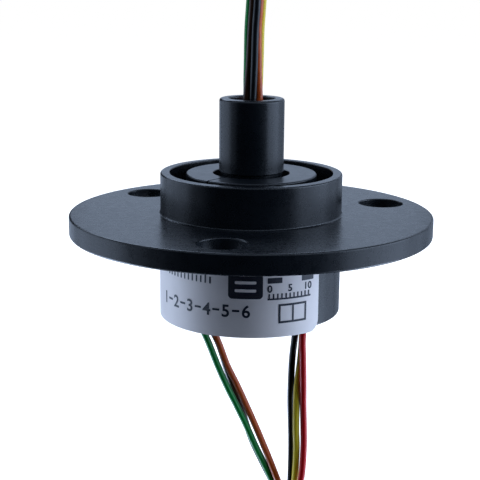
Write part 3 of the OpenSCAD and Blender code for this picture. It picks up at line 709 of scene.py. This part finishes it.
def makePrint(p):
    ink = inkMaterial("label_ink", (0.0035, 0.0055, 0.017))
    rows = [*p["dashes"], *p["leftScale"], *p["rightScale"], *p["topBars"], *p["box"]]
    pieces = [meshPiece("label_numbers", [digitPart(*row) for row in p["numbers"]], ink, 30),
              meshPiece("label_marks", [barPart(*row) for row in rows], ink, 30),
              meshPiece("label_block", [barPart(*p["block"], p["blockCorner"])], ink, 30),
              meshPiece("label_block_slots",
                        [barPart(*row, p["slotCorner"], p["slotLift"]) for row in p["slots"]], foil, 30)]
    for piece in pieces:
        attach(piece, "stator")


makePrint(printed)
print("label made")


# Sealant: a bead in each exit hole that creeps up round its three leads.
sealant = {"radius": 1.3, "face": -9.5, "back": -8.3, "edge": 0.1, "creep": 0.24, "reach": 0.16}


def makeSealant(b):
    # Height of the bead: its face, lower by a sixth power towards its edge and by an exponential of
    # the distance to each lead's skin.
    parts = []
    for side in (-1, 1):
        radius = np.linspace(0, b["radius"], 22)[:, None]
        turn = np.radians(np.arange(0, 360, 5))[None, :]
        x, y = side * exits["radius"] + radius * np.cos(turn), radius * np.sin(turn)
        height = np.full(x.shape, b["face"]) - b["edge"] * (radius / b["radius"]) ** 6
        for i, (offX, offY) in enumerate(exitOffsets):
            if leadSides[i] == side:
                away = np.hypot(x - side * exits["radius"] - offX, y - offY) - leadShape["diameter"] / 2
                height = height - b["creep"] * np.exp(-np.maximum(away, 0) / b["reach"])
        back = np.stack([x, y, np.full(x.shape, b["back"])], axis=-1)[::-1]
        points = np.concatenate([np.stack([x, y, height], axis=-1), back]) * mm
        parts.append((points, gridFaces(*points.shape[:2], wrapColumns=True)))
    piece = meshPiece("exit_sealant_beads", parts, sealantResin)
    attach(piece, "stator")
    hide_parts("exit_sealant")


makeSealant(sealant)


# Ties: a plastic-coated twist tie round the waist of each hank, with its ends twisted together.
tie = {"wide": 2.2, "gap": 0.03, "depth": 5.4, "corner": 0.5, "twist": 0.27, "pitch": 1.7, "bend": 1.3,
       "tail": 4.2, "tailAcross": 1.0, "tailOff": 0.25}
tieSection = [   # half of the strip's width, its height off the leads, and the rounding: a flat with a ridge
    (-1.1, 0, 0.05), (-1.1, 0.17, 0.06), (-0.3, 0.2, 0.05), (-0.16, 0.47, 0.1),
    (0.16, 0.47, 0.1), (0.3, 0.2, 0.05), (1.1, 0.17, 0.06), (1.1, 0, 0.05)]


def makeTie(kind, hank, tailUp):
    s, (middleY, middleZ) = hankShape, hank["middle"]
    waist = s["limb"] + leadShape["diameter"] / 2 + tie["gap"]
    waist -= s["pinch"] * math.cos(math.pi / 2 * tie["wide"] / 2 / hank["half"]) ** 2
    deep = tie["depth"] / 2 + tie["gap"]
    corners = [(-waist, -deep), (waist, -deep), (waist, deep), (-waist, deep)]
    loop = roundedOutline([(*c, tie["corner"]) for c in corners], arcSteps=8, support=0.2)
    section = roundedOutline(tieSection, arcSteps=4)
    ahead = np.roll(loop, -1, axis=0) - np.roll(loop, 1, axis=0)
    outward = np.stack([ahead[:, 1], -ahead[:, 0]], axis=1) / np.linalg.norm(ahead, axis=1, keepdims=True)
    ring = loop[:, None, :] + outward[:, None, :] * section[None, :, 1:2]
    height = np.broadcast_to(section[None, :, 0], ring.shape[:2])
    band = np.stack([ring[..., 0], middleY + ring[..., 1], middleZ + height], axis=-1) * mm
    parts = [(band, gridFaces(*ring.shape[:2], wrapRows=True, wrapColumns=True))]
    # the ends leave the band squarely, bend up or down, and wind round each other as a double helix
    far = np.linspace(0, tie["bend"] * math.pi / 2 + tie["tail"], 90)
    swing = np.clip(far / tie["bend"], 0, math.pi / 2)
    rest = np.maximum(far - tie["bend"] * math.pi / 2, 0)
    out = tie["bend"] * np.sin(swing)
    rise = tie["bend"] * (1 - np.cos(swing)) + rest
    axis = np.stack([0 * far + tie["tailAcross"], middleY - deep - tie["tailOff"] - out,
                     middleZ + tailUp * rise], axis=-1)
    square = np.stack([0 * far, -tailUp * np.sin(swing), -np.cos(swing)], axis=-1)
    for start in (0, math.pi):
        turn = (start + far / tie["pitch"] * 2 * math.pi)[:, None]
        line = axis + tie["twist"] * (np.array([1.0, 0, 0]) * np.cos(turn) + square * np.sin(turn))
        thick = np.full(len(line), tie["twist"] * 0.98)
        thick[[0, -1]] = 0
        thick[[1, -2]] *= 0.7
        parts.append(sweptTube(line * mm, thick * mm, square, 10))
    piece = meshPiece(kind + "_hank_twist_tie", parts, tiePlastic, 35)
    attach(piece, kind)
    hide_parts(kind + "_hank_tie")


makeTie("rotor", rotorHank, -1)
makeTie("stator", statorHank, 1)
print("sealant and ties made")


# CAD nodes that stay get the finish of their slot.
for name, node in nodes.items():
    for slot in node.material_slots:
        if slot.material and slot.material.name.split(".")[0] in carriedMaterials:
            slot.material = carriedMaterials[slot.material.name.split(".")[0]]


# Stage: a plain pale floor under a pale sky, and soft panels that stand round the object.
floorShape = {"level": -69, "reach": 9.0}
panelShape = {"distance": 0.45, "colour": (0.60, 0.745, 1.0), "wide": 25, "high": 26}
panels = [
    # name, bearing from the front, elevation and brightness
    ("right_floor", 95, -38, 11.2),
    ("left_floor", -95, -38, 8.5),
    ("left_rear_floor", -120, -38, 6.6),
    ("left_under", -120, -62, 2.4),
    ("right_front_floor", 70, -38, 2.0),
    ("right_key", 70, 12, 3.9),
    ("right_side", 95, 12, 3.5),
    ("right_side_low", 95, -12, 1.8),
    ("right_front_low", 70, -12, 1.4),
    ("right_corner", 45, 12, 0.33),
    ("right_corner_high", 45, 40, 1.26),
    ("right_front_high", 70, 40, 1.1),
    ("right_back", 120, 12, 0.95),
    ("right_back_low", 120, -12, 0.88),
    ("left_side", -95, 12, 1.6),
    ("left_side_low", -95, -12, 1.2),
    ("left_back", -120, 12, 0.97),
    ("left_back_low", -120, -12, 1.02),
    ("left_front_high", -70, 40, 1.2),
    ("rear_left_high", -150, 40, 3.7),
    ("rear_left_low", -150, -12, 0.8),
    ("rear_right_high", 150, 40, 2.1),
    ("rear_right", 150, 12, 0.63),
    ("rear_right_low", 150, -12, 0.5),
    ("rear_high", 180, 40, 1.64),
    ("rear", 180, 12, 0.85),
    ("top", 0, 88, 0.3),
    ("left_front", -70, 0, 0.3),
]


def makeFloor(shape):
    material, shader = startMaterial("floor_paint")
    driven(material, shader, "Base Color", noise(material, coordinates(material), 3, 3),
           [(0.3, 0.88), (0.7, 0.92)])
    shader.inputs["Roughness"].default_value = 0.9
    shader.inputs["Specular IOR Level"].default_value = 0.1
    shader.inputs["Emission Color"].default_value = (1, 1, 1, 1)
    shader.inputs["Emission Strength"].default_value = 1.0
    reach, level = shape["reach"], shape["level"] * mm
    mesh = bpy.data.meshes.new("floor")
    corners = [(-reach, -reach, level), (reach, -reach, level), (reach, reach, level), (-reach, reach, level)]
    mesh.from_pydata(corners, [], [(0, 1, 2, 3)])
    mesh.materials.append(material)
    floor = bpy.data.objects.new("floor", mesh)
    bpy.context.scene.collection.objects.link(floor)
    floor.visible_glossy = False
    floor.visible_diffuse = False
    floor.visible_shadow = False


def makePanel(name, bearing, elevation, brightness, wideDeg=panelShape["wide"], highDeg=panelShape["high"]):
    # A flat area light that faces the object; its power is brightness times pi times its area.
    distance = panelShape["distance"]
    wide = 2 * distance * math.tan(math.radians(wideDeg / 2))
    high = 2 * distance * math.tan(math.radians(highDeg / 2))
    light = bpy.data.lights.new(name, "AREA")
    light.shape = "RECTANGLE"
    light.size, light.size_y = wide, high
    light.energy = brightness * math.pi * wide * high
    light.color = panelShape["colour"]
    panel = bpy.data.objects.new(name, light)
    bpy.context.scene.collection.objects.link(panel)
    a, e = math.radians(bearing), math.radians(elevation)
    out = Vector((math.sin(a) * math.cos(e), -math.cos(a) * math.cos(e), math.sin(e)))
    panel.location = out * distance
    panel.rotation_mode = "QUATERNION"
    panel.rotation_quaternion = out.to_track_quat("Z", "Y")
    panel.visible_camera = False


def makeWorld():
    world = bpy.data.worlds.new("studio")
    bpy.context.scene.world = world
    world.use_nodes = True
    world.node_tree.nodes["Background"].inputs["Color"].default_value = (1, 1, 1, 1)
    world.cycles_visibility.glossy = False
    world.cycles_visibility.diffuse = False


makeFloor(floorShape)
for row in panels:
    makePanel(*row)
makePanel("front_top", 0, 56, 0.9, 60, 30)
makeWorld()
bpy.context.scene.view_settings.view_transform = "Standard"
print("stage made")
